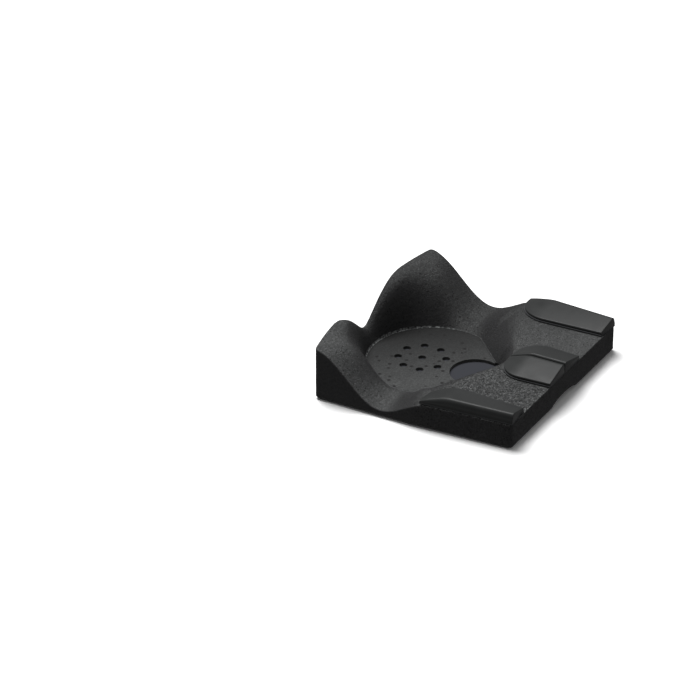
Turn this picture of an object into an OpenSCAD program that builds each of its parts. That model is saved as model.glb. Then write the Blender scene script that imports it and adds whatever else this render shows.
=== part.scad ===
// Contoured positioning seat cushion: a moulded bead-foam block with a pelvic well,
// a perforated floor panel and four removable wedge pads.
// Millimetres. X runs across the seat, the front edge faces -Y, +Z is up.
// The origin is the middle of the footprint, at the underside.

/* [Block] */
// Width over the two rear corners
block_w = 432; // [412:1:460]
// Width of the front edge
front_w = 405.6; // [388:0.2:412]
// Length from the front edge to the middle of the rear edge
block_l = 406; // [396:1:430]
// Length of the tapered stretch at the front
taper_l = 192; // [178:1:205]
// How far the rear edge bows out in its middle
rear_bow = 22; // [14:1:30]
// Squareness of that bow towards the corners
bow_power = 2.4; // [2:0.1:3]
// Radius of the four upright corners
corner_r = 8; // [4:0.5:14]
// Bevel around the underside
base_bevel = 6; // [2:0.5:8]

/* [Top surface] */
// Height of the two rear lobes
lobe_h = 102.5; // [85:0.5:120]
// Height of the notch between the lobes
notch_h = 32; // [26:0.5:60]
// Half width of the notch, to the level lobe top
notch_half_w = 123; // [100:1:150]
// Sharpness of the notch's bottom
notch_power = 1.2; // [1:0.1:1.6]
// Height of the block's side edge beside the well
valley_h = 14; // [12:0.5:24]
// Distance of that low point behind the middle of the block
valley_y = 50; // [35:1:65]
// Length of the rise from the low point back to the lobe top
lobe_run = 135; // [115:1:145]
// Length of the rise from the low point forward to the leg troughs
trough_run = 92; // [80:1:98]
// Height of the leg troughs
trough_h = 52; // [44:0.5:60]
// Distance from mid width at which the troughs start to fall outwards
shoulder_x = 138; // [126:1:142]
// Outward fall of the trough's shoulder under a side pad, in degrees
shoulder_angle = 2.6; // [1:0.1:4]
// Distance of the trough crest in front of the middle of the block, at mid width
crest_y = 98; // [90:1:110]

/* [Well] */
// Height of the well floor
floor_h = 5.5; // [4.5:0.5:9]
// Radius of the round rear part of the floor
well_r = 121; // [114:0.5:124]
// Distance of the floor's centre behind the middle of the block
well_y = 60; // [57:0.5:62]
// Distance from the floor's centre to each straight front edge
well_reach = 107; // [103:0.5:111]
// Angle of the straight front edges
well_angle = 45; // [41:1:48]
// Hollowness of the wall's foot
wall_foot = 1.1; // [1:0.05:1.8]
// Roundness of the wall's crest
wall_crest = 3.4; // [1.5:0.1:4.5]

/* [Round opening] */
// Diameter of the opening through the block
opening_d = 94; // [80:1:98]
// Distance of its centre in front of the middle of the block
opening_y = 26.5; // [22:0.5:32]
// Level rim between the opening and the wall in front of it
opening_rim = 2; // [1:0.5:4]

/* [Floor panel] */
// Width of the level border that the block leaves around the panel
floor_border = 1.5; // [1.3:0.1:3]
// How far the panel's two front tips reach in front of the middle of the block
panel_reach = 43; // [30:1:44]
// Thickness of the perforated panel
panel_t = 3.5; // [2.5:0.5:4]
// Clearance around the panel
panel_gap = 0.3; // [0.2:0.05:0.6]
// Diameter of the vent holes
vent_d = 14; // [8:0.5:18]
// Diameter of the ring of vent holes
vent_ring_d = 87; // [70:1:100]
// Number of vent holes in the ring
vent_count = 8; // [5:1:9]
// Distance of the ring's centre behind the middle of the block
vent_y = 82.5; // [76:0.5:90]
// Diameter of the two moulding pits in the panel
pit_d = 5; // [3:0.5:7]
// Depth of the pits
pit_depth = 1.5; // [1:0.5:2]
// Distance between the two moulding pits
pit_span = 97; // [85:1:105]
// Distance of the pits behind the middle of the block
pit_y = 27; // [25:0.5:34]

/* [Front arch] */
// Width of the channel under the front edge
arch_w = 106; // [70:1:130]
// Height of the channel
arch_h = 14; // [10:0.5:20]

/* [Side pads] */
// Length of a side pad
side_pad_l = 176; // [160:1:178]
// Width of a side pad at the front
side_pad_front_w = 50; // [44:0.5:60]
// Width of a side pad where its rear corner starts
side_pad_rear_w = 64; // [56:0.5:72]
// Length of the rounded rear corner
side_pad_round = 54; // [40:1:62]
// Width of a side pad at its rear tip
side_pad_tip_w = 14; // [10:0.5:20]
// Height of a side pad's ridge above the trough
side_pad_h = 21.5; // [17:0.5:28]
// How far the outer face leans inwards
side_pad_lean = 4; // [2:0.5:7]
// Distance of the outer face from the block's side
side_pad_inset = 1.5; // [1:0.5:4]

/* [Middle pads] */
// Length of a middle pad
mid_pad_l = 108; // [95:1:112]
// Width of a middle pad at the front
mid_pad_front_w = 57.5; // [48:0.5:62]
// Width of a middle pad where its rear corner starts
mid_pad_rear_w = 61; // [50:0.5:65]
// Length of the rounded rear corner
mid_pad_round = 46; // [36:1:52]
// Width of a middle pad at its rear tip
mid_pad_tip_w = 12; // [8:0.5:18]
// Height of a middle pad's ridge above the trough
mid_pad_h = 21.5; // [17:0.5:28]
// How far the inner face leans outwards
mid_pad_lean = 2; // [1:0.5:4]
// Gap between the two middle pads
mid_pad_gap = 0.8; // [0.5:0.1:3]

/* [Pad layers] */
// Thickness of the moulded cap
cap_t = 1.8; // [1.4:0.1:2.4]
// Radius of the ridge along the top of a cap
ridge_r = 7; // [4:0.5:9]
// Height of a cap's slope where it meets the toe, above the trough
toe_h = 7.5; // [6.5:0.5:11]
// Radius of the rounded toe
toe_r = 5; // [3:0.5:8]
// Depth of the groove along the foot of the toe
groove_d = 0.8; // [0.4:0.1:1]
// Height of that groove
groove_h = 1; // [0.6:0.1:1.4]
// Thickness of the flange sheet under the cap
flange_t = 2.2; // [1.4:0.1:2.8]
// How far the flange shows beyond the toe of the cap
flange_lip = 1; // [0.5:0.1:2]
// Thickness of the loop tape under the flange
loop_t = 1; // [0.6:0.1:1.4]
// Thickness of the hook tape let into the block
hook_t = 1.2; // [0.8:0.1:2]
// Distance from the edge of a pad to its tapes
tape_inset = 8; // [6:0.5:12]
// Clearance around each hook tape
tape_gap = 0.3; // [0.2:0.05:0.6]

/* [Hidden] */

$fn = 96;
cut = 1; // overshoot of every cutter
half_w = block_w / 2;
half_l = block_l / 2;
half_front = front_w / 2;
kink_y = taper_l - half_l;
taper = (half_w - half_front) / taper_l;
bow_angle = atan(bow_power * rear_bow / half_w);
ledge_h = floor_h - panel_t;

// Number of steps along each stretch of the outline, and of rings up the well wall
rear_steps = 12;
corner_steps = 4;
side_steps = 15;
taper_steps = 11;
front_steps = 9;
wall_rings = 8;
outer_rings = 6;
arch_steps = 18;
corner_turn = 10;
round_steps = 4;
// Share of the way to the outline taken by the wall rings, and how closely they crowd its foot
wall_share = 0.6;
ring_crowding = 1.2;
// Least height of a cap above its lip at the rear tip, and how late the ridge falls to it
tip_rise = 1;
tip_power = 1.5;
// The core stops short of the pad's thin rear tip
core_last_angle = 60;
// Largest share of a pad's height taken by the rounding of its ridge, and of its toe edge
ridge_share = 0.45;
toe_share = 0.8;
// Smallest divisor on a ray that runs along a straight edge
tiny = 0.01;

// ---- Outline of the block, one half, from the rear middle to the front middle ----
function rear_edge_y(x) = half_l - rear_bow * pow(x / half_w, bow_power);
function side_x(y) = y > kink_y ? half_w : half_w - (kink_y - y) * taper;

rear_corner_x = half_w - corner_r;
rear_tangent_x = rear_corner_x + corner_r * sin(bow_angle);
rear_corner_y = rear_edge_y(rear_tangent_x) - corner_r * cos(bow_angle);
front_corner_y = corner_r - half_l;
front_corner_x = side_x(front_corner_y) - corner_r;

half_outline = concat(
  [for (i = [0 : rear_steps - 1])
    let (x = rear_tangent_x * i / rear_steps) [x, rear_edge_y(x)]],
  [for (i = [0 : corner_steps])
    let (a = (90 - bow_angle) * (1 - i / corner_steps))
    [rear_corner_x + corner_r * cos(a), rear_corner_y + corner_r * sin(a)]],
  [for (i = [1 : side_steps])
    let (y = rear_corner_y + (kink_y - rear_corner_y) * i / side_steps) [half_w, y]],
  [for (i = [1 : taper_steps])
    let (y = kink_y + (front_corner_y - kink_y) * i / taper_steps) [side_x(y), y]],
  [for (i = [1 : corner_steps])
    let (a = -90 * i / corner_steps)
    [front_corner_x + corner_r * cos(a), front_corner_y + corner_r * sin(a)]],
  [for (i = [1 : front_steps])
    [front_corner_x * (1 - i / front_steps), -half_l]]);
outline = concat([for (p = half_outline) [-p[0], p[1]]],
  [for (i = [len(half_outline) - 2 : -1 : 1]) half_outline[i]]);

// ---- Top surface of the block ----
function clamp01(v) = min(1, max(0, v));
function swell(u) = pow(sin(90 * clamp01(u)), 2);
function seat_h(x) = trough_h - max(0, abs(x) - shoulder_x) * tan(shoulder_angle);

// Height of the rear edge and of the side edge
function rear_edge_h(x) =
  notch_h + (lobe_h - notch_h) * pow(sin(90 * clamp01(abs(x) / notch_half_w)), notch_power);
function side_edge_h(y) = y > valley_y
  ? valley_h + (lobe_h - valley_h) * swell((y - valley_y) / lobe_run)
  : valley_h + (seat_h(half_w) - valley_h) * swell((valley_y - y) / trough_run);
function edge_h(p) = abs(p[0]) < rear_corner_x && p[1] > 0 ? rear_edge_h(p[0]) : side_edge_h(p[1]);

// Distance from the well's centre to the edge of its floor, in the direction [dx, dy]
reach_y = well_y + opening_y;
rim_r = opening_d / 2 + opening_rim;
function to_front_edge(dx, dy) =
  let (c = abs(dx) * cos(well_angle) - dy * sin(well_angle)) c > tiny ? well_reach / c : block_l;
function to_rim(dx, dy) =
  let (side = reach_y * abs(dx), left = pow(rim_r, 2) - pow(side, 2))
  left > 0 && dy < 0 ? -dy * reach_y + sqrt(left) : 0;
function to_floor_edge(dx, dy) = max(min(well_r, to_front_edge(dx, dy)), to_rim(dx, dy));

// Distance from the well's centre to the crest of the leg troughs
crest_side_y = valley_y - trough_run;
crest_slope = (crest_side_y + crest_y) / half_w;
crest_soften = 0.12;
function to_crest(dx, dy) =
  let (side = sqrt(dx * dx + pow(crest_soften, 2)) - crest_soften, c = crest_slope * side - dy)
  c > tiny ? (well_y + crest_y) / c : 2 * block_w;

// Height of the wall at the share t of the way from the floor to its top, 0 to 1
function wall_rise(t) = 1 - pow(1 - pow(clamp01(t), wall_foot), wall_crest);

// Point of ring i on the ray from the well's centre to the outline point p
function ray_point(p, i) =
  let (vx = p[0], vy = p[1] - well_y, far = norm([vx, vy]), dx = vx / far, dy = vy / far,
    near = to_floor_edge(dx, dy),
    top = min(far, to_crest(dx, dy)),
    split = min(top, near + wall_share * (far - near)),
    r = i <= wall_rings
      ? near + (split - near) * pow(i / wall_rings, ring_crowding)
      : split + (far - split) * (i - wall_rings) / outer_rings,
    height = seat_h(dx * r) + (top < far ? 0 : edge_h(p) - seat_h(p[0])))
  [dx * r, well_y + dy * r, floor_h + (height - floor_h) * wall_rise((r - near) / (top - near))];

// ---- Solid between rings of equally many points, closed with a flat face at both ends ----
module loft(rings) {
  n = len(rings[0]);
  last = (len(rings) - 1) * n;
  points = [for (ring = rings) for (p = ring) p];
  faces = concat(
    [[for (k = [0 : n - 1]) k]],
    [for (i = [0 : len(rings) - 2]) for (k = [0 : n - 1])
      let (a = i * n + k, b = i * n + (k + 1) % n) each [[a, a + n, b], [b, a + n, b + n]]],
    [[for (k = [n - 1 : -1 : 0]) last + k]]);
  polyhedron(points, faces);
}

// Underside ring: the outline drawn in by the bevel
function drawn_in(p) = let (c = [0, -corner_r], v = p - c, d = norm(v)) c + v * (1 - base_bevel / d);

module block_body() {
  ring_count = wall_rings + outer_rings;
  loft(concat(
    [[for (p = outline) [drawn_in(p)[0], drawn_in(p)[1], 0]],
      [for (p = outline) [p[0], p[1], base_bevel]]],
    [for (i = [ring_count : -1 : 0]) [for (p = outline) ray_point(p, i)]]));
}

// ---- Plan of the well floor: a disc with two straight front edges, drawn in by inset ----
module floor_plan(inset) {
  intersection() {
    translate([0, well_y]) circle(r = well_r - inset);
    behind_front_edge(1, inset);
    behind_front_edge(-1, inset);
    translate([-half_w, inset - panel_reach]) square([block_w, block_l]);
  }
}

module behind_front_edge(side, inset) {
  translate([0, well_y]) rotate(side > 0 ? -well_angle : 180 + well_angle)
    translate([-block_l, -block_l]) square([block_l + well_reach - inset, block_l * 2]);
}

module round_opening() {
  translate([0, -opening_y, -cut]) cylinder(d = opening_d, h = trough_h + 2 * cut);
}

module vents() {
  translate([0, vent_y, -cut]) {
    cylinder(d = vent_d, h = floor_h + 2 * cut);
    for (i = [0 : vent_count - 1])
      rotate(360 * (i + 0.5) / vent_count) translate([vent_ring_d / 2, 0])
        cylinder(d = vent_d, h = floor_h + 2 * cut);
  }
}

// Channel under the front edge, open into the round opening
module front_arch() {
  arch = [for (i = [0 : arch_steps])
    let (a = 180 * i / arch_steps) [arch_w / 2 * cos(a), arch_h * sin(a)]];
  translate([0, -opening_y, 0]) rotate([90, 0, 0]) linear_extrude(half_l - opening_y + cut)
    polygon(concat([[-arch_w / 2, -cut]], [for (i = [arch_steps : -1 : 0]) arch[i]], [[arch_w / 2, -cut]]));
}

// ---- Pads: length, front width, rear width, round corner, tip width, height, lean ----
side_pad = [side_pad_l, side_pad_front_w, side_pad_rear_w, side_pad_round, side_pad_tip_w,
  side_pad_h, side_pad_lean];
mid_pad = [mid_pad_l, mid_pad_front_w, mid_pad_rear_w, mid_pad_round, mid_pad_tip_w,
  mid_pad_h, mid_pad_lean];

// The side pads are drawn on the right half and the middle pads on the left half.
// Place at the distance s from a pad's back face, towards its toe
function across(pad, y, s) = pad == side_pad ? side_pad_inset - side_x(y) + s : mid_pad_gap / 2 + s;

// One station along a pad: its y, its width, the share of its full height and the skew that
// keeps its front end square to its back face
function corner_station(pad, a, inset) =
  [pad[0] - half_l - pad[3] + (pad[3] - inset) * sin(a),
    pad[4] + (pad[2] - pad[4] - inset) * cos(a),
    1 - pow(sin(a), tip_power), 0];
function pad_stations(pad, inset, last_angle, front_inset = 0) = concat(
  [[front_inset - half_l, pad[1] - inset, 1, pad == side_pad ? taper : 0]],
  [for (a = [0 : corner_turn : last_angle]) corner_station(pad, a, inset)]);

// Outline of a flat layer, drawn in from the pad's edge by inset, or beyond its toe when negative
function layer_plan(pad, inset) =
  let (draw = max(inset, 0), stations = pad_stations(pad, inset, 90, draw), n = len(stations))
  concat([for (st = stations) [across(pad, st[0], st[1]), st[0] + st[1] * st[3]]],
    [for (i = [n - 1 : -1 : 0]) let (st = stations[i]) [across(pad, st[0], draw), st[0] + draw * st[3]]]);

module layer(pad, inset, z, t) {
  translate([0, 0, z]) linear_extrude(t) polygon(layer_plan(pad, inset));
}

// Points that round the corner c between a and b, starting r away from it
function rounded(a, c, b, r) =
  let (from = c + (a - c) * r / norm(a - c), to = c + (b - c) * r / norm(b - c))
  [for (i = [0 : round_steps])
    let (t = i / round_steps) from * pow(1 - t, 2) + c * 2 * t * (1 - t) + to * pow(t, 2)];

// Cross-section at one station: back face, rounded ridge, slope, rounded toe and groove.
// The foot of the section reaches below the level low by sink.
function wedge_ring(pad, st, back, low, toe, top, groove, sink = 0) =
  let (leaned = pad[6] / pad[5],
    foot = [back - leaned * sink, low - sink], ridge = [back + leaned * (top - low), top],
    corner = [st[1], toe], lip = [st[1], low + groove_h + groove],
    notch = groove > 0 ? [lip, [st[1] - groove, low + groove_h]] : [])
  [for (q = concat([foot],
      rounded(foot, ridge, corner, min(ridge_r, ridge_share * (top - low))),
      rounded(ridge, corner, lip, min(toe_r, toe_share * (toe - lip[1]))),
      notch, [[st[1] - groove, low - sink]]))
    [across(pad, st[0], q[0]), st[0] + q[0] * st[3], q[1]]];

cap_z = trough_h + loop_t + flange_t;
cap_lip_h = groove_h + groove_d;
core_toe_inset = cap_t + groove_d;

// Heights of a cap's ridge and toe, at the share of its full height; both meet the lip at 0
lip_z = cap_z + cap_lip_h;
function ridge_top(pad, share) = lip_z + (trough_h + pad[5] - lip_z) * share + tip_rise;
function toe_top(pad, share) = lip_z + (trough_h + toe_h - lip_z) * sqrt(share) + tip_rise / 2;

module cap_body(pad) {
  loft([for (st = pad_stations(pad, 0, 90))
    wedge_ring(pad, st, 0, cap_z, toe_top(pad, st[2]), ridge_top(pad, st[2]), groove_d)]);
}

// Foam core, also the hollow of the cap when it sinks below the cap's underside
module core_body(pad, sink = 0) {
  loft([for (st = pad_stations(pad, core_toe_inset, core_last_angle, cap_t))
    wedge_ring(pad, st, cap_t, cap_z,
      toe_top(pad, st[2]) - cap_t, ridge_top(pad, st[2]) - cap_t, 0, sink)]);
}

// Tilts a side pad's layers onto the shoulder
module on_shoulder() {
  translate([-shoulder_x, 0, trough_h]) rotate([0, -shoulder_angle, 0])
    translate([shoulder_x, 0, -trough_h]) children();
}

// Puts a pad's layer in its place, on the other half when over is true
module placed(pad, over) {
  mirror([over ? 1 : 0, 0, 0]) {
    if (pad == side_pad) on_shoulder() children();
    else children();
  }
}

// ---- Nodes ----
module foam_block() {
  color("#26272a") difference() {
    block_body();
    translate([0, 0, ledge_h]) linear_extrude(panel_t + cut) floor_plan(floor_border);
    round_opening();
    vents();
    front_arch();
    for (over = [false, true]) {
      placed(side_pad, over) layer(side_pad, tape_inset - tape_gap, trough_h - hook_t, hook_t + cut);
      placed(mid_pad, over) layer(mid_pad, tape_inset - tape_gap, trough_h - hook_t, hook_t + cut);
    }
  }
}

module floor_panel() {
  color("#35373a") difference() {
    translate([0, 0, ledge_h]) linear_extrude(panel_t) floor_plan(floor_border + panel_gap);
    round_opening();
    vents();
    for (side = [-1, 1])
      translate([side * pit_span / 2, pit_y, floor_h - pit_depth]) cylinder(d = pit_d, h = pit_depth + cut);
  }
}

module hook_tape(pad, over) {
  color("#161718") placed(pad, over) layer(pad, tape_inset, trough_h - hook_t, hook_t);
}

module loop_tape(pad, over) {
  color("#222325") placed(pad, over) layer(pad, tape_inset, trough_h, loop_t);
}

module flange(pad, over) {
  color("#3c3e42") placed(pad, over) layer(pad, -flange_lip, trough_h + loop_t, flange_t);
}

module core(pad, over) {
  color("#1c1d1f") placed(pad, over) core_body(pad);
}

module cap(pad, over) {
  color("#303236") placed(pad, over) difference() {
    cap_body(pad);
    core_body(pad, cut);
  }
}

foam_block();
floor_panel();
hook_tape(side_pad, true);  // hook_tape_side_left
hook_tape(side_pad, false);  // hook_tape_side_right
hook_tape(mid_pad, false);  // hook_tape_mid_left
hook_tape(mid_pad, true);  // hook_tape_mid_right
loop_tape(side_pad, true);  // loop_tape_side_left
loop_tape(side_pad, false);  // loop_tape_side_right
loop_tape(mid_pad, false);  // loop_tape_mid_left
loop_tape(mid_pad, true);  // loop_tape_mid_right
flange(side_pad, true);  // flange_side_left
flange(side_pad, false);  // flange_side_right
flange(mid_pad, false);  // flange_mid_left
flange(mid_pad, true);  // flange_mid_right
core(side_pad, true);  // core_side_left
core(side_pad, false);  // core_side_right
core(mid_pad, false);  // core_mid_left
core(mid_pad, true);  // core_mid_right
cap(side_pad, true);  // cap_side_left
cap(side_pad, false);  // cap_side_right
cap(mid_pad, false);  // cap_mid_left
cap(mid_pad, true);  // cap_mid_right
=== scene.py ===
"""Looks of a contoured seat cushion base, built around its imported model.

A black moulded bead-foam block with a pelvic well, a perforated floor panel, and wedge pads that lift off
their hook-and-loop tapes. Lengths are in metres. X runs across the seat, the front edge faces -Y and +Z
is up. Left and right are the sitter's, so left is +X.
"""

from __future__ import annotations

import logging
import math
from abc import ABC, abstractmethod
from collections.abc import Iterable
from dataclasses import dataclass, field
from enum import Enum

import bpy
import numpy as np
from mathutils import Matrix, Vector, noise

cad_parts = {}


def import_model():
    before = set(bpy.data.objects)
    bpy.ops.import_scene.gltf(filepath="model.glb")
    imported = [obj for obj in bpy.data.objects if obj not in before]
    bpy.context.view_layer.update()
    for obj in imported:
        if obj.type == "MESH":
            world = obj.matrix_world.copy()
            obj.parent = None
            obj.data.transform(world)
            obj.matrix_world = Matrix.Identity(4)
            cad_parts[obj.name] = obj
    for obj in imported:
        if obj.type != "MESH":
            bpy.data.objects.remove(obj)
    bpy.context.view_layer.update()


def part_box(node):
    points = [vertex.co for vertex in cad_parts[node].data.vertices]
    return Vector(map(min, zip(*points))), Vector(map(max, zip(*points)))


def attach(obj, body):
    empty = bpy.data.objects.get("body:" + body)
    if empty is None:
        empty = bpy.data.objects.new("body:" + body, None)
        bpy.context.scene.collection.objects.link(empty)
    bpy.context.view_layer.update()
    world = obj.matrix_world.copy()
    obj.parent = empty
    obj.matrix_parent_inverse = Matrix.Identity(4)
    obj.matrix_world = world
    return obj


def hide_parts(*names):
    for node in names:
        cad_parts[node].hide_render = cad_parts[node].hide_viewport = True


MM = 0.001
LOG = logging.getLogger("cushion_base")
Inputs = dict[str | int, object]
# The kinds of shader node that are used most.
MATH, VECTOR, RANGE = "ShaderNodeMath", "ShaderNodeVectorMath", "ShaderNodeMapRange"
NOISE, CELLS, MIX = "ShaderNodeTexNoise", "ShaderNodeTexVoronoi", "ShaderNodeMix"
# Keeps a division from meeting zero.
TINY = 1e-9
# Where nearly all values of a noise texture lie.
NOISE_RANGE: Inputs = {"From Min": 0.3, "From Max": 0.7}


# ---- Colour and nodes ----


def linear(code: str) -> tuple[float, float, float, float]:
    """Turn an sRGB hex colour into the linear colour that shaders take.

    Args:
        code: The colour, such as "#2b2c2e".

    Returns:
        Linear red, green and blue, with an alpha of 1.
    """
    parts = [int(code[i : i + 2], 16) / 255 for i in (1, 3, 5)]
    red, green, blue = (p / 12.92 if p <= 0.04045 else ((p + 0.055) / 1.055) ** 2.4 for p in parts)
    return (red, green, blue, 1.0)


def add_node(
    tree: bpy.types.NodeTree, kind: str, inputs: Inputs | None = None, **settings: object
) -> bpy.types.Node:
    """Add a shader node, set its properties, and link or set its inputs.

    Args:
        tree: The node tree that gets the node.
        kind: The node's type, such as "ShaderNodeTexNoise".
        inputs: What goes into each input socket: another node, whose first output in use is taken, one of
            its output sockets, or a plain value.
        settings: The node's own properties.

    Returns:
        The new node.
    """
    node = tree.nodes.new(kind)
    for name, value in settings.items():
        setattr(node, name, value)
    for key, value in (inputs or {}).items():
        if isinstance(value, bpy.types.Node):
            value = next(out for out in value.outputs if out.enabled)
        if isinstance(value, bpy.types.NodeSocket):
            tree.links.new(value, node.inputs[key])
        else:
            node.inputs[key].default_value = value
    return node


def toned(tree: bpy.types.NodeTree, colour: object, factor: bpy.types.Node) -> bpy.types.Node:
    """Make a colour darker or paler.

    Args:
        tree: The material's node tree.
        colour: The colour, as a node or a plain value.
        factor: What it is multiplied by.

    Returns:
        The toned colour.
    """
    grey = add_node(tree, "ShaderNodeCombineXYZ", {0: factor, 1: factor, 2: factor})
    both = {"Factor": 1.0, 6: colour, 7: grey}
    return add_node(tree, MIX, both, data_type="RGBA", blend_type="MULTIPLY")


# ---- Finishes ----


@dataclass(frozen=True)
class Finish(ABC):
    """One real material with its surface, as a procedural shader.

    Its slot is the record's slot that it stands for, and its relief is the surface's height in metres.
    """

    name: str
    slot: str
    relief: float
    ior: float

    def material(self) -> bpy.types.Material:
        """Build the finish as a Blender material.

        Returns:
            The material.
        """
        made = bpy.data.materials.new(self.name)
        made.use_nodes = True
        tree = made.node_tree
        tree.nodes.clear()
        place = add_node(tree, "ShaderNodeTexCoord").outputs["Object"]
        look = self.pattern(tree, place)
        bump = {"Height": look.pop("Height"), "Distance": self.relief}
        look |= {"Normal": add_node(tree, "ShaderNodeBump", bump), "IOR": self.ior}
        shader = add_node(tree, "ShaderNodeBsdfPrincipled", look)
        add_node(tree, "ShaderNodeOutputMaterial", {"Surface": shader})
        return made

    @abstractmethod
    def pattern(self, tree: bpy.types.NodeTree, place: bpy.types.NodeSocket) -> Inputs:
        """Draw the finish.

        Args:
            tree: The material's node tree.
            place: The point on the object, in metres.

        Returns:
            What goes into the shader's sockets, and the height of the relief as "Height".
        """


@dataclass(frozen=True)
class BeadFoam(Finish):
    """Expanded polypropylene, steam-chest moulded.

    Fused beads of about 3 mm, each a shade of its own and crowned, with dark seams and small voids between
    them; the voids are painted black, as shade. What faces up is paler, partly with the dust that a black
    foam gathers and partly with painted light, and what faces away has painted shade. Painted shade darkens
    one rear corner, and painted light makes the coarser front corner paler.
    """

    skin: str
    dusty_and_lit: str
    bead: float
    speckle: float
    void_size: float
    void_share: float
    roughness: float
    gloss: float = 0.5
    # How much coarser one front corner is, how much painted shade darkens the rear corner opposite, how much
    # painted light makes the coarser corner paler, and where both lie.
    rougher_side: float = 0.0
    shade_side: float = 0.0
    coarse_light: float = 0.2
    rougher_x: tuple[float, float] = (50 * MM, -80 * MM)
    rougher_y: tuple[float, float] = (0.0, -50 * MM)
    shade_way: tuple[float, float, float] = (0.75, 0.66, 0)
    shade_run: tuple[float, float] = (-30 * MM, 140 * MM)
    # Radius, centre and half width of the painted highlight along the torn lip, its tears, and how far it
    # fades in towards the rear.
    lip_at: tuple[float, float, float] = (0.0, 0.0, 0.0)
    lip_highlight: str = "#6e7070"
    tear: float = 5 * MM
    torn: tuple[float, float] = (0.42, 0.62)
    lip_fade: float = 40 * MM
    # Sloping rim of a bead, how far beads stand proud of one another, and the grit on them, all in beads.
    bead_rim: float = 0.22
    proud: float = 0.7
    grit_scale: float = 2.6
    grit_h: float = 0.5
    # Bottom and mouth of a void, as shares of void_size.
    void_mouth: tuple[float, float] = (0.16, 0.34)
    # The way that faces look which get dust and painted light, the cosines between which these come in,
    # their patches, and how much of the beads' own shades is left in the painted shade where there are none.
    dust_and_light_way: tuple[float, float, float] = (-0.18, -0.28, 0.94)
    dust_and_light_run: tuple[float, float] = (0.68, 0.985)
    patch: float = 45 * MM
    thin_patch: float = 0.78
    speckle_in_shade: float = 0.35
    rough_spread: float = 0.1

    def pattern(self, tree: bpy.types.NodeTree, place: bpy.types.NodeSocket) -> Inputs:
        """Draw beads, seams, voids painted black as shade, dust with painted light and shade, painted shade
        and light over the corners and, where there is one, a painted highlight along the lip round the
        well's floor.

        Args:
            tree: The material's node tree.
            place: The point on the object.

        Returns:
            What goes into the shader's sockets, and the height of the relief as "Height".
        """
        beads = {"Vector": place, "Scale": 1 / self.bead}
        cell = add_node(tree, CELLS, beads)
        own = add_node(tree, "ShaderNodeSeparateColor", {"Color": cell.outputs["Color"]})
        seams = add_node(tree, CELLS, beads, feature="DISTANCE_TO_EDGE")
        crown = {"Value": seams, "From Max": self.bead_rim}
        crown = add_node(tree, RANGE, crown, interpolation_type="SMOOTHSTEP")
        grit = {"Vector": place, "Scale": self.grit_scale / self.bead, "Detail": 3.0}
        grit = add_node(tree, NOISE, grit)
        worn = self.worn(tree, place)
        solid = self.solid(tree, place, worn)
        dust_and_light = self.dust_and_light(tree, place)

        shades = {"Value": own, "To Min": -self.speckle, "To Max": self.speckle}
        shades = add_node(tree, RANGE, shades)
        bare = add_node(tree, RANGE, {"Value": dust_and_light, "To Min": self.speckle_in_shade})
        for factor in (worn, bare):
            shades = add_node(tree, MATH, {0: shades, 1: factor}, operation="MULTIPLY")
        shades = add_node(tree, MATH, {0: shades, 1: 1.0}, operation="ADD")
        seam = add_node(tree, RANGE, {"Value": crown, "To Min": 1 - self.speckle})
        # The voids are painted black, as shade; painted shade darkens a rear corner, and painted light pales
        # the coarser front corner.
        for factor in (seam, solid, self.painted_shade(tree, place, worn)):
            shades = add_node(tree, MATH, {0: shades, 1: factor}, operation="MULTIPLY")
        # Faces turned the dust's way get the paler colour, for dust and painted light; the rest keeps
        # painted shade.
        colour = {"Factor": dust_and_light, 6: linear(self.skin), 7: linear(self.dusty_and_lit)}
        colour = add_node(tree, MIX, colour, data_type="RGBA")
        colour = toned(tree, colour, shades)
        if self.lip_at[0]:
            colour = self.lip(tree, place, colour)

        height = add_node(tree, MATH, {0: crown, 1: solid}, operation="MULTIPLY")
        for part, share in ((own, self.proud), (grit, self.grit_h)):
            height = add_node(tree, MATH, {0: part, 1: share, 2: height}, operation="MULTIPLY_ADD")
        height = add_node(tree, MATH, {0: height, 1: worn}, operation="MULTIPLY")
        rough = {"To Min": self.roughness - self.rough_spread, "To Max": self.roughness + self.rough_spread}
        rough = add_node(tree, RANGE, {"Value": grit} | rough | NOISE_RANGE)
        look = {"Base Color": colour, "Height": height, "Roughness": rough}
        return look | {"Specular IOR Level": self.gloss}

    def worn(self, tree: bpy.types.NodeTree, place: bpy.types.NodeSocket) -> bpy.types.Node:
        """Draw how coarse the foam is: 1, and more towards the front corner that is rougher.

        Args:
            tree: The material's node tree.
            place: The point on the object.

        Returns:
            The coarseness.
        """
        axes = add_node(tree, "ShaderNodeSeparateXYZ", {"Vector": place})
        side, front = (
            add_node(tree, RANGE, {"Value": axes.outputs[axis], "From Min": low, "From Max": high})
            for axis, (low, high) in (("X", self.rougher_x), ("Y", self.rougher_y))
        )
        worn = add_node(tree, MATH, {0: side, 1: front}, operation="MULTIPLY")
        worn = {0: worn, 1: self.rougher_side, 2: 1.0}
        return add_node(tree, MATH, worn, operation="MULTIPLY_ADD")

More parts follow.
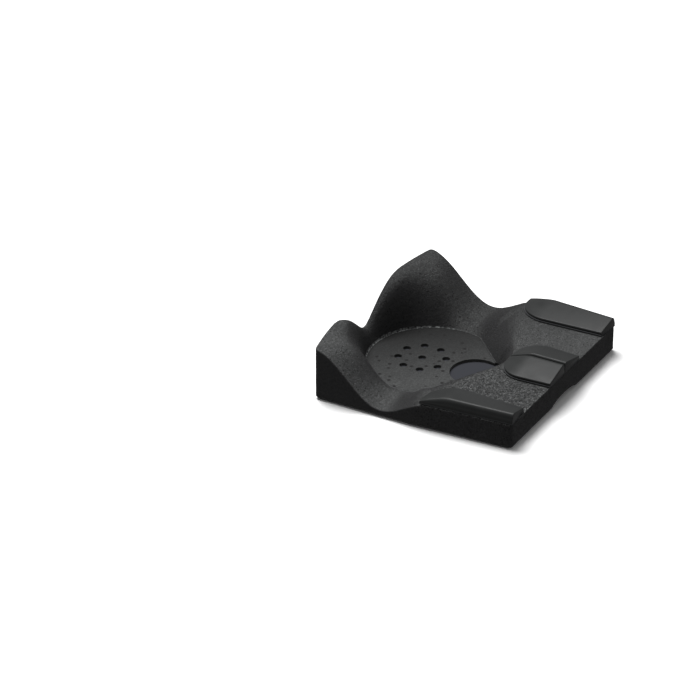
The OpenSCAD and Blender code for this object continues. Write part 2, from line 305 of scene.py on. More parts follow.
    def solid(
        self, tree: bpy.types.NodeTree, place: bpy.types.NodeSocket, worn: bpy.types.Node
    ) -> bpy.types.Node:
        """Draw the voids between beads, which are painted black, as shade.

        Args:
            tree: The material's node tree.
            place: The point on the object.
            worn: How coarse the foam is.

        Returns:
            1 on the beads and 0 in a void.
        """
        holes = {"Vector": place, "Scale": 1 / self.void_size}
        holes = add_node(tree, CELLS, holes)
        chance = add_node(tree, "ShaderNodeSeparateColor", {"Color": holes.outputs["Color"]})
        share = add_node(tree, MATH, {0: worn, 1: self.void_share}, operation="MULTIPLY")
        here = add_node(tree, MATH, {0: chance, 1: share}, operation="LESS_THAN")
        bottom, rim = self.void_mouth
        mouth = {"Value": holes, "From Min": bottom, "From Max": rim, "To Min": 1.0, "To Max": 0.0}
        mouth = add_node(tree, RANGE, mouth)
        void = add_node(tree, MATH, {0: mouth, 1: here}, operation="MULTIPLY")
        return add_node(tree, MATH, {0: 1.0, 1: void}, operation="SUBTRACT")

    def dust_and_light(self, tree: bpy.types.NodeTree, place: bpy.types.NodeSocket) -> bpy.types.Node:
        """Draw dust and painted light, in patches, on what faces up and a little to the front and the right,
        and painted shade on what faces away.

        Args:
            tree: The material's node tree.
            place: The point on the object.

        Returns:
            How much dust and painted light there is, from 0 to 1.
        """
        normal = add_node(tree, "ShaderNodeNewGeometry").outputs["Normal"]
        lean = {0: normal, 1: self.dust_and_light_way}
        lean = add_node(tree, VECTOR, lean, operation="DOT_PRODUCT").outputs["Value"]
        steep, level = self.dust_and_light_run
        dust_and_light = {"Value": lean, "From Min": steep, "From Max": level}
        dust_and_light = add_node(tree, RANGE, dust_and_light, interpolation_type="SMOOTHSTEP")
        cloud = {"Vector": place, "Scale": 1 / self.patch, "Detail": 3.0}
        cloud = add_node(tree, NOISE, cloud)
        patchy = {"Value": cloud, "To Min": self.thin_patch} | NOISE_RANGE
        patchy = add_node(tree, RANGE, patchy)
        return add_node(tree, MATH, {0: dust_and_light, 1: patchy}, operation="MULTIPLY")

    def painted_shade(
        self, tree: bpy.types.NodeTree, place: bpy.types.NodeSocket, worn: bpy.types.Node
    ) -> bpy.types.Node:
        """Draw painted shade that darkens towards one rear corner, and painted light that makes the coarser
        front corner paler.

        Args:
            tree: The material's node tree.
            place: The point on the object.
            worn: How coarse the foam is.

        Returns:
            The factor on the colour.
        """
        back = {0: place, 1: self.shade_way}
        back = add_node(tree, VECTOR, back, operation="DOT_PRODUCT").outputs["Value"]
        near, far = self.shade_run
        painted_shade = {"Value": back, "From Min": near, "From Max": far}
        painted_shade = add_node(tree, RANGE, painted_shade | {"To Min": 1.0, "To Max": 1 - self.shade_side})
        painted_shade = {0: worn, 1: self.coarse_light, 2: painted_shade}
        painted_shade = add_node(tree, MATH, painted_shade, operation="MULTIPLY_ADD")
        return add_node(tree, MATH, {0: painted_shade, 1: self.coarse_light}, operation="SUBTRACT")

    def lip(
        self, tree: bpy.types.NodeTree, place: bpy.types.NodeSocket, colour: bpy.types.Node
    ) -> bpy.types.Node:
        """Draw a painted highlight, pale and torn, along the lip at the rear of the well's floor.

        Args:
            tree: The material's node tree.
            place: The point on the object.
            colour: The colour without the highlight.

        Returns:
            The colour with the highlight.
        """
        radius, middle, width = self.lip_at
        flat = add_node(tree, VECTOR, {0: place, 1: (1, 1, 0)}, operation="MULTIPLY")
        out = {0: flat, 1: (0, middle, 0)}
        out = add_node(tree, VECTOR, out, operation="DISTANCE").outputs["Value"]
        share = add_node(tree, MATH, {0: out, 1: radius, 2: width}, operation="COMPARE")
        tears = {"Vector": place, "Scale": 1 / self.tear, "Detail": 2.0}
        tears = add_node(tree, NOISE, tears)
        whole, gone = self.torn
        torn = add_node(tree, RANGE, {"Value": tears, "From Min": whole, "From Max": gone})
        along = add_node(tree, "ShaderNodeSeparateXYZ", {"Vector": place}).outputs["Y"]
        rear = {"Value": along, "From Min": middle, "From Max": middle + self.lip_fade}
        rear = add_node(tree, RANGE, rear)
        for factor in (torn, rear):
            share = add_node(tree, MATH, {0: share, 1: factor}, operation="MULTIPLY")
        both = {"Factor": share, 6: colour, 7: linear(self.lip_highlight)}
        return add_node(tree, MIX, both, data_type="RGBA")


@dataclass(frozen=True)
class IntegralSkin(Finish):
    """Integral-skin polyurethane foam: a smooth closed skin with a fine pebble grain and a soft gloss."""

    skin: str
    grain: float
    roughness: float
    gloss: float = 0.2
    # Size of the slow drift over the skin, and how far it takes the tone and the roughness.
    drift: float = 22 * MM
    darkest: float = 0.9
    palest: float = 1.08
    glossier: float = 0.05
    duller: float = 0.06

    def pattern(self, tree: bpy.types.NodeTree, place: bpy.types.NodeSocket) -> Inputs:
        """Draw a pebble grain, and a skin whose gloss and tone drift slowly over the pad.

        Args:
            tree: The material's node tree.
            place: The point on the object.

        Returns:
            What goes into the shader's sockets, and the height of the relief as "Height".
        """
        pebble = {"Vector": place, "Scale": 1 / self.grain}
        pebble = add_node(tree, CELLS, pebble, feature="SMOOTH_F1")
        drift = {"Vector": place, "Scale": 1 / self.drift, "Detail": 4.0}
        drift = add_node(tree, NOISE, drift)
        tone = {"Value": drift, "To Min": self.darkest, "To Max": self.palest} | NOISE_RANGE
        colour = toned(tree, linear(self.skin), add_node(tree, RANGE, tone))
        rough = {"To Min": self.roughness - self.glossier, "To Max": self.roughness + self.duller}
        rough = add_node(tree, RANGE, {"Value": drift} | rough | NOISE_RANGE)
        look = {"Base Color": colour, "Height": pebble, "Roughness": rough}
        return look | {"Specular IOR Level": self.gloss}


@dataclass(frozen=True)
class CellSheet(Finish):
    """Closed-cell foam-rubber sheet, knife-cut: a matt face with fine open cells."""

    skin: str
    cell: float
    roughness: float = 0.85
    # Bottom and wall of a cell, in cells, and the tone, darker at the bottom as painted shade, and the
    # roughness from the one to the other.
    bottom_at: float = 0.1
    wall_at: float = 0.6
    darkest: float = 0.7
    palest: float = 1.1
    duller: float = 0.08
    glossier: float = 0.05

    def pattern(self, tree: bpy.types.NodeTree, place: bpy.types.NodeSocket) -> Inputs:
        """Draw small cells, each darker at its bottom with painted shade.

        Args:
            tree: The material's node tree.
            place: The point on the object.

        Returns:
            What goes into the shader's sockets, and the height of the relief as "Height".
        """
        cell = add_node(tree, CELLS, {"Vector": place, "Scale": 1 / self.cell})
        depth = {"Value": cell, "From Min": self.bottom_at, "From Max": self.wall_at}
        depth = add_node(tree, RANGE, depth | {"To Min": self.darkest, "To Max": self.palest})
        rough = {"Value": cell, "From Max": self.wall_at}
        rough |= {"To Min": self.roughness + self.duller, "To Max": self.roughness - self.glossier}
        colour = toned(tree, linear(self.skin), depth)
        return {"Base Color": colour, "Height": depth, "Roughness": add_node(tree, RANGE, rough)}


@dataclass(frozen=True)
class WovenTape(Finish):
    """Nylon hook or loop tape: rows of hooks, or a brushed pile, on a woven ground."""

    ground: str
    tip: str
    row: float
    brushed: bool
    # Radii of a tuft's tip and foot, in rows, how fine its fluff is, and its roughness.
    tip_at: float = 0.1
    foot_at: float = 0.5
    fluff: float = 5
    smoothest: float = 0.6
    roughest: float = 0.9

    def pattern(self, tree: bpy.types.NodeTree, place: bpy.types.NodeSocket) -> Inputs:
        """Draw rows of tufts, broken up at random where the pile is brushed.

        Args:
            tree: The material's node tree.
            place: The point on the object.

        Returns:
            What goes into the shader's sockets, and the height of the relief as "Height".
        """
        scatter, fluff_h = (1.0, 0.8) if self.brushed else (0.15, 0.2)
        tufts = {"Vector": place, "Scale": 1 / self.row, "Randomness": scatter}
        tuft = add_node(tree, CELLS, tufts)
        fluff = add_node(tree, NOISE, {"Vector": place, "Scale": self.fluff / self.row, "Detail": 4.0})
        peak = {"Value": tuft, "From Min": self.tip_at, "From Max": self.foot_at}
        peak = add_node(tree, RANGE, peak | {"To Min": 1.0, "To Max": 0.0})
        height = {0: fluff, 1: fluff_h, 2: peak}
        height = add_node(tree, MATH, height, operation="MULTIPLY_ADD")
        # The tips are paler than the ground between them: painted light on the tips, painted shade down
        # among them.
        colour = {"Factor": peak, 6: linear(self.ground), 7: linear(self.tip)}
        colour = add_node(tree, MIX, colour, data_type="RGBA")
        rough = {"Value": fluff, "To Min": self.smoothest, "To Max": self.roughest} | NOISE_RANGE
        return {"Base Color": colour, "Height": height, "Roughness": add_node(tree, RANGE, rough)}


@dataclass(frozen=True)
class MattSheet(Finish):
    """A matt sheet of one plain colour, with a fine tooth and no sheen."""

    colour: str
    roughness: float
    tooth: float = 2 * MM
    rough_spread: float = 0.05

    def pattern(self, tree: bpy.types.NodeTree, place: bpy.types.NodeSocket) -> Inputs:
        """Draw the sheet's fine tooth.

        Args:
            tree: The material's node tree.
            place: The point on the object.

        Returns:
            What goes into the shader's sockets, and the height of the relief as "Height".
        """
        tooth = add_node(tree, NOISE, {"Vector": place, "Scale": 1 / self.tooth})
        rough = {"To Min": self.roughness - self.rough_spread, "To Max": self.roughness + self.rough_spread}
        rough = add_node(tree, RANGE, {"Value": tooth} | rough)
        look = {"Base Color": linear(self.colour), "Height": tooth, "Roughness": rough}
        return look | {"Specular IOR Level": 0.0}


@dataclass(frozen=True)
class Finishes:
    """Every finish of the object."""

    block: Finish
    floor: Finish
    cap: Finish
    flange: Finish
    core: Finish
    hook: Finish
    loop: Finish


# ---- Meshes ----


def piece_from(name: str, points: np.ndarray, faces: Iterable[Iterable[int]]) -> bpy.types.Object:
    """Make a closed piece, with its faces looking outwards.

    Args:
        name: The piece's name.
        points: Its vertices, one row each.
        faces: The vertex numbers of each face.

    Returns:
        The new object, in the scene.
    """
    mesh = bpy.data.meshes.new(name)
    mesh.from_pydata(points.tolist(), [], [list(map(int, f)) for f in faces])
    mesh.validate()
    piece = bpy.data.objects.new(name, mesh)
    bpy.context.scene.collection.objects.link(piece)
    if signed_volume(mesh) < 0:
        mesh.flip_normals()
    return piece


def signed_volume(mesh: bpy.types.Mesh) -> float:
    """Volume inside a closed mesh, negative where its faces look inwards.

    Args:
        mesh: The mesh.

    Returns:
        The volume, in cubic metres.
    """
    mesh.calc_loop_triangles()
    corners = np.zeros(len(mesh.loop_triangles) * 3, np.int32)
    mesh.loop_triangles.foreach_get("vertices", corners)
    places = np.zeros(len(mesh.vertices) * 3)
    mesh.vertices.foreach_get("co", places)
    a, b, c = places.reshape(-1, 3)[corners.reshape(-1, 3)].transpose(1, 0, 2)
    return float(np.einsum("ij,ij->i", a, np.cross(b, c)).sum() / 6)


def smooth(piece: bpy.types.Object, hard_edge: float = math.radians(38)) -> None:
    """Shade a piece smooth, but for the edges that are sharper than hard_edge."""
    piece.data.shade_smooth()
    piece.data.set_sharp_from_angle(angle=hard_edge)


def loft_faces(rings: np.ndarray) -> list[list[int]]:
    """Faces of a solid that runs through rings of equally many points.

    Args:
        rings: The rings' points, as an array of rings by points by 3.

    Returns:
        The faces, with one flat face at each end.
    """
    count, around = rings.shape[:2]
    grid = np.arange(count * around).reshape(count, around)
    following = np.roll(grid, -1, axis=1)
    quads = np.stack([grid[:-1], following[:-1], following[1:], grid[1:]], -1).reshape(-1, 4)
    return [*quads.tolist(), grid[0, ::-1].tolist(), grid[-1].tolist()]


def loft(name: str, rings: list[np.ndarray]) -> bpy.types.Object:
    """Make a closed piece that runs through rings of equally many points.

    Args:
        name: The piece's name.
        rings: The rings, each with one row per point.

    Returns:
        The new object.
    """
    stack = np.array(rings)
    return piece_from(name, stack.reshape(-1, 3), loft_faces(stack))


def quarter(points: int) -> np.ndarray:
    """Angles of a quarter circle, both ends included."""
    return np.linspace(0, math.pi / 2, points)


def turned(profile: list[tuple[float, float]], at: tuple[float, float], steps: int) -> bpy.types.Object:
    """Make a solid of revolution about an upright axis.

    Args:
        profile: Radius and height of each ring, from the bottom up.
        at: Where the axis stands.
        steps: Number of points in a ring.

    Returns:
        The new object.
    """
    angles = np.linspace(0, 2 * math.pi, steps, endpoint=False)
    rings = [
        np.stack([at[0] + r * np.cos(angles), at[1] + r * np.sin(angles), np.full(steps, z)], -1)
        for r, z in profile
    ]
    return loft("turned", rings)


def prism(outline: np.ndarray, low: float, high: float) -> bpy.types.Object:
    """Make an upright prism.

    Args:
        outline: The plan, one row per corner.
        low: Height of its underside.
        high: Height of its top.

    Returns:
        The new object.
    """
    return loft("prism", [np.column_stack([outline, np.full(len(outline), z)]) for z in (low, high)])


def cut(piece: bpy.types.Object, *cutters: bpy.types.Object) -> None:
    """Cut solids out of a piece, and delete the cutters.

    Args:
        piece: The piece.
        cutters: The solids, in the order in which they are cut out.
    """
    for cutter in cutters:
        step = piece.modifiers.new("cut", "BOOLEAN")
        step.operation = "DIFFERENCE"
        step.solver = "MANIFOLD"
        step.object = cutter
        graph = bpy.context.evaluated_depsgraph_get()
        mesh = bpy.data.meshes.new_from_object(piece.evaluated_get(graph))
        piece.modifiers.clear()
        piece.data = mesh
        bpy.data.objects.remove(cutter)


def dress(piece: bpy.types.Object, finish: Finish, coats: dict[str, bpy.types.Material]) -> None:
    """Smooth a piece, and give it its finish.

    Args:
        piece: The piece.
        finish: What it is finished in.
        coats: The materials made so far, by name.
    """
    smooth(piece)
    if finish.name not in coats:
        coats[finish.name] = finish.material()
    piece.data.materials.clear()
    piece.data.materials.append(coats[finish.name])


def swell(share: np.ndarray) -> np.ndarray:
    """Ease from 0 to 1 with level ends."""
    return np.sin(math.pi / 2 * np.clip(share, 0, 1)) ** 2


def softened(values: np.ndarray, spread: float) -> np.ndarray:
    """Blur values that run once round.

    Args:
        values: The values, evenly spaced.
        spread: Width of the blur, in places.

    Returns:
        The blurred values.
    """
    waves = np.fft.rfftfreq(len(values)) * spread
    return np.fft.irfft(np.fft.rfft(values) * np.exp(-2 * (math.pi * waves) ** 2), len(values))


# ---- The block ----


@dataclass
class FoamBlock:
    """The moulded block: its outline, its contoured top and everything let into it."""

    coats: dict[str, bpy.types.Material]
    finish: Finish
    # The outline: the bowed rear edge, the tapering sides, and the front edge.
    rear_bow: float = 22 * MM
    bow_power: float = 2.4
    front_w: float = 405.6 * MM
    taper_l: float = 192 * MM
    corner_r: float = 8 * MM
    corner_points: int = 7
    base_bevel: float = 6 * MM
    # Heights along the outline: the lobes, the notch between them and the valleys at the sides.
    lobe_h: float = 102.5 * MM
    notch_h: float = 32 * MM
    notch_half_w: float = 123 * MM
    notch_power: float = 1.2
    valley_h: float = 14 * MM
    valley_y: float = 50 * MM
    lobe_run: float = 135 * MM
    trough_run: float = 92 * MM
    rim_soften: int = 5
    edge_r: float = 1.8 * MM
    # The leg troughs and their crest.
    trough_h: float = 52 * MM
    shoulder_x: float = 138 * MM
    shoulder_angle: float = math.radians(2.6)
    crest_y: float = 98 * MM
    crest_soften: float = 0.12
    # The well: its floor, with straight sides before a round rear, and the shape of its wall.
    floor_h: float = 5.5 * MM
    well_r: float = 121 * MM
    well_y: float = 60 * MM
    well_reach: float = 107 * MM
    well_angle: float = math.radians(45)
    wall_foot: float = 1.1
    wall_crest: float = 3.4
    crease_soften: int = 20
    crease_run: float = 60 * MM
    # The round opening, and the arch under the front edge.
    opening_d: float = 94 * MM
    opening_y: float = 26.5 * MM
    opening_rim: float = 2 * MM
    arch_w: float = 106 * MM
    arch_h: float = 14 * MM
    arch_points: int = 49
    # The rings of the mesh, which lie closer to one another near the floor.
    step: float = 1.95 * MM
    rings: int = 84
    side_rings: int = 14
    crowding: float = 1.15
    least_lean: float = 0.01
    # The ruffle of the beads: a coarse and a finer wave.
    ruffle: float = 0.22 * MM
    ruffle_wave: float = 7 * MM
    ruffle_finer: float = 2.3
    ruffle_fine: float = 0.5
    ruffle_sunk: float = 0.4
    ruffle_from: float = 0.2 * MM
    # The torn lip on the ledge round the panel. Its heights are shares of lip_h.
    ledge: tuple[float, ...] = (-3.2 * MM, -1.9 * MM, -1.4 * MM, -0.9 * MM, -0.4 * MM, 0.0)
    lip_h: float = 0.9 * MM
    lip_w: float = 1.1 * MM
    lip_start: float = 0.15
    lip_range: tuple[float, float] = (0.15, 1.5)
    lip_mean: float = 0.8
    lip_torn: float = 1.1
    lip_rings: int = 4
    tear_scale: float = 13
    tear_seed: float = 5
    slack: float = 0.1 * MM
    # How far cutters run past the block.
    clear: float = 5 * MM
    opening_clear: float = 20 * MM
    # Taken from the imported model.
    half_w: float = field(init=False)
    half_l: float = field(init=False)

    def __post_init__(self) -> None:
        """Take the block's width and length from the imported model."""
        low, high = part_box("foam_block")
        self.half_w = (high.x - low.x) / 2
        self.half_l = (high.y - low.y) / 2

    @property
    def half_front(self) -> float:
        """Half the width of the front edge."""
        return self.front_w / 2

    @property
    def kink_y(self) -> float:
        """Where the sides start to taper."""
        return self.taper_l - self.half_l

    @property
    def taper(self) -> float:
        """How much the side comes in for each metre forward."""
        return (self.half_w - self.half_front) / self.taper_l

    def side_x(self, y: np.ndarray) -> np.ndarray:
        """Half width of the block at y."""
        return self.half_w - np.maximum(self.kink_y - y, 0) * self.taper

    def half_outline(self) -> np.ndarray:
        """Points of the left half of the outline, from the rear middle to the front middle.

        Returns:
            The points, one row each.
        """
        r = self.corner_r
        bow = math.atan(self.bow_power * self.rear_bow / self.half_w)
        corner_x = self.half_w - r
        tangent_x = corner_x + r * math.sin(bow)
        corner_y = self.rear_y(tangent_x) - r * math.cos(bow)
        front_y = r - self.half_l
        front_x = float(self.side_x(front_y)) - r
        along = self.spread(0, tangent_x)
        rear = np.column_stack([along, self.rear_y(along)])
        turn = np.linspace(math.pi / 2 - bow, 0, self.corner_points)
        rear_corner = np.column_stack([corner_x + r * np.cos(turn), corner_y + r * np.sin(turn)])
        down = np.concatenate([self.spread(corner_y, self.kink_y)[1:], self.spread(self.kink_y, front_y)])
        side = np.column_stack([self.side_x(down), down])
        turn = np.linspace(0, -math.pi / 2, self.corner_points)
        front_corner = np.column_stack([front_x + r * np.cos(turn), front_y + r * np.sin(turn)])
        across = self.spread(front_x, 0)[1:]
        front = np.column_stack([np.append(across, 0), np.full(len(across) + 1, -self.half_l)])
        return np.vstack([rear, rear_corner, side, front_corner, front])

    def spread(self, start: float, end: float) -> np.ndarray:
        """Even places from start up to end, without end, about one step apart."""
        return np.linspace(start, end, max(2, round(abs(end - start) / self.step)), endpoint=False)

    def rear_y(self, x: np.ndarray) -> np.ndarray:
        """Place of the bowed rear edge at x."""
        return self.half_l - self.rear_bow * (np.abs(x) / self.half_w) ** self.bow_power

    def outline(self) -> np.ndarray:
        """The whole outline, once round."""
        half = self.half_outline()
        return np.vstack([half, half[-2:0:-1] * [-1, 1]])

    def seat_h(self, x: np.ndarray) -> np.ndarray:
        """Height of the leg troughs at x."""
        return self.trough_h - np.maximum(np.abs(x) - self.shoulder_x, 0) * math.tan(self.shoulder_angle)

    def edge_h(self, p: np.ndarray) -> np.ndarray:
        """Height of the top where it meets the outline.

        Args:
            p: The outline's points, once round.

        Returns:
            The height at each point.
        """
        x, y = p[:, 0], p[:, 1]
        rise = np.sin(math.pi / 2 * np.clip(np.abs(x) / self.notch_half_w, 0, 1)) ** self.notch_power
        rear = self.notch_h + (self.lobe_h - self.notch_h) * rise
        lobe = self.valley_h + (self.lobe_h - self.valley_h) * swell((y - self.valley_y) / self.lobe_run)
        seat = self.seat_h(np.array(self.half_w)) - self.valley_h
        front = self.valley_h + seat * swell((self.valley_y - y) / self.trough_run)
        behind = (np.abs(x) < self.half_w - self.corner_r) & (y > 0)
        return softened(np.where(behind, rear, np.where(y > self.valley_y, lobe, front)), self.rim_soften)

    def near(self, d: np.ndarray) -> np.ndarray:
        """Distance from the well's centre to the edge of its floor.

        Args:
            d: The directions, as vectors of length 1.

        Returns:
            The distance in each direction.
        """
        dx, dy = np.abs(d[:, 0]), d[:, 1]
        lean = dx * math.cos(self.well_angle) - dy * math.sin(self.well_angle)
        straight = self.well_reach / np.maximum(lean, self.least_lean)
        straight = np.where(lean > self.least_lean, straight, np.inf)
        reach = self.well_y + self.opening_y
        left = (self.opening_d / 2 + self.opening_rim) ** 2 - (reach * dx) ** 2
        rim = np.where((left > 0) & (dy < 0), -dy * reach + np.sqrt(np.maximum(left, 0)), 0)
        return np.maximum(np.minimum(self.well_r, straight), rim)

    def crest(self, d: np.ndarray) -> np.ndarray:
        """Distance from the well's centre to the crest of the leg troughs.

        Args:
            d: The directions, as vectors of length 1.

        Returns:
            The distance in each direction, infinite where there is no crest.
        """
        slope = (self.valley_y - self.trough_run + self.crest_y) / self.half_w
        side = np.sqrt(d[:, 0] ** 2 + self.crest_soften**2) - self.crest_soften
        lean = slope * side - d[:, 1]
        reach = (self.well_y + self.crest_y) / np.maximum(lean, self.least_lean)
        return np.where(lean > self.least_lean, reach, np.inf)

    def top_ring(self, p: np.ndarray, share: float, turn: float) -> np.ndarray:
        """One ring of the top, from the well's floor outwards.

        Args:
            p: The outline.
            share: How far out the ring lies, from 0 to 1, short of the rounded edge.
            turn: How far the rounded edge has turned over, from 0 to a quarter circle.

        Returns:
            The ring's points.
        """
        v = p - [0, self.well_y]
        far = np.hypot(*v.T)
        d = v / far[:, None]
        near = self.near(d)
        crest = self.crest(d)
        top = np.minimum(far, crest)
        r = near + (far - self.edge_r - near) * share**self.crowding + self.edge_r * math.sin(turn)
        rim = np.where(crest < far, 0, self.edge_h(p) - self.seat_h(p[:, 0]))
        t = np.clip((r - near) / (top - near), 0, 1)
        rise = 1 - (1 - t**self.wall_foot) ** self.wall_crest
        pull = (softened(far, self.crease_soften) - far) * swell(p[:, 1] / self.crease_run)
        r = r + pull * share * (1 - share**2)
        height = self.seat_h(d[:, 0] * r) + rim
        z = self.floor_h + (height - self.floor_h) * rise - self.edge_r * (1 - math.cos(turn))
        return np.column_stack([d[:, 0] * r, self.well_y + d[:, 1] * r, z])

    def ledge_ring(self, p: np.ndarray, out: float) -> np.ndarray:
        """One ring of the border round the floor panel, with the torn lip along its rear.

        Args:
            p: The outline.
            out: How far outside the wall's foot the ring lies, negative inside it.

        Returns:
            The ring's points.
        """
        v = p - [0, self.well_y]
        d = v / np.hypot(*v.T)[:, None]
        near = self.near(d)
        places = (Vector((*row, self.tear_seed)) for row in d * self.tear_scale)
        tear = np.array([noise.noise(place) for place in places])
        on_arc = near > self.well_r - self.slack
        rear = swell((d[:, 1] + self.lip_start) / (2 * self.lip_start)) * on_arc
        height = self.lip_h * np.clip(self.lip_mean + self.lip_torn * tear, *self.lip_range) * rear
        lip = height * math.exp(-((out / self.lip_w) ** 2))
        r = near + out
        return np.column_stack([d[:, 0] * r, self.well_y + d[:, 1] * r, self.floor_h + lip])

    def shell(self) -> bpy.types.Object:
        """The block's outer form, with nothing let into it yet.

        Returns:
            The new object.
        """
        p = self.outline()
        middle = np.array([0, -self.corner_r])
        v = p - middle
        drawn_in = middle + v * (1 - self.base_bevel / np.hypot(*v.T))[:, None]
        rings = [self.ledge_ring(p, out) for out in self.ledge]
        walls = [self.top_ring(p, share, 0) for share in np.linspace(0, 1, self.rings)[1:]]
        for ring in walls[: self.lip_rings]:
            lip = self.ledge_ring(p, float(np.hypot(*(ring[0, :2] - walls[0][0, :2]))))
            ring[:, 2] = np.maximum(ring[:, 2], lip[:, 2])
        rings += walls
        rings += [self.top_ring(p, 1, turn) for turn in quarter(points=5)[1:]]
        brow = rings[-1][:, 2]
        for share in np.linspace(0, 1, self.side_rings)[1:]:
            rings.append(np.column_stack([p, brow + (self.base_bevel - brow) * share]))
        rings.append(np.column_stack([drawn_in, np.zeros(len(p))]))
        # Fans close the floor and the underside, whose outlines aren't convex.
        rings = np.array(rings)
        faces = loft_faces(rings)[:-2]
        count, around = rings.shape[:2]
        points = np.vstack([rings.reshape(-1, 3), [[0, self.well_y, self.floor_h], [*middle, 0]]])
        hub, foot = count * around, count * around + 1
        last = (count - 1) * around
        for k in range(around):
            following = (k + 1) % around
            faces.append([hub, following, k])
            faces.append([foot, last + k, last + following])
        block = piece_from("bead_block", points, faces)
        self.roughen(block)
        return block

    def roughen(self, block: bpy.types.Object) -> None:
        """Move the surface in and out a little, as moulded beads do, but for the lowest parts.

        Args:
            block: The block's outer form.
        """
        count = len(block.data.vertices)
        places, normals = np.zeros(count * 3), np.zeros(count * 3)
        block.data.vertices.foreach_get("co", places)
        block.data.vertex_normals.foreach_get("vector", normals)
        places, normals = places.reshape(-1, 3), normals.reshape(-1, 3)
        shift = Vector((7, 1, 3))
        wave = [
            noise.noise(p) + self.ruffle_fine * noise.noise(p * self.ruffle_finer + shift)
            for p in (Vector(row) for row in places / self.ruffle_wave)
        ]
        free = places[:, 2] > self.floor_h + self.ruffle_from
        places += normals * ((np.array(wave) - self.ruffle_sunk) * free * self.ruffle)[:, None]
        block.data.vertices.foreach_set("co", places.ravel())
        block.data.update()

    def arch(self) -> bpy.types.Object:
        """Cutter for the channel under the front edge.

        Returns:
            The cutter.
        """
        turn = np.linspace(0, math.pi, self.arch_points)
        x = np.concatenate([[self.arch_w / 2], self.arch_w / 2 * np.cos(turn), [-self.arch_w / 2]])
        z = np.concatenate([[-self.clear], self.arch_h * np.sin(turn), [-self.clear]])
        ends = (-self.half_l - self.clear, -self.opening_y)
        return loft("arch", [np.column_stack([x, np.full(len(x), y), z]) for y in ends])

    def opening(self) -> bpy.types.Object:
        """Cutter for the round opening.

        Returns:
            The cutter.
        """
        r = self.opening_d / 2
        profile = [(r, -self.clear), (r, self.trough_h + self.opening_clear)]
        return turned(profile, (0, -self.opening_y), steps=180)

    def build(self, cutters: list[bpy.types.Object]) -> bpy.types.Object:
        """Build and dress the block.

        Args:
            cutters: What is cut out of it, in this order.

        Returns:
            The block, in place.
        """
        foam = self.shell()
        cut(foam, *cutters)
        dress(foam, self.finish, self.coats)
        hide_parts("foam_block")
        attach(foam, "base")
        return foam


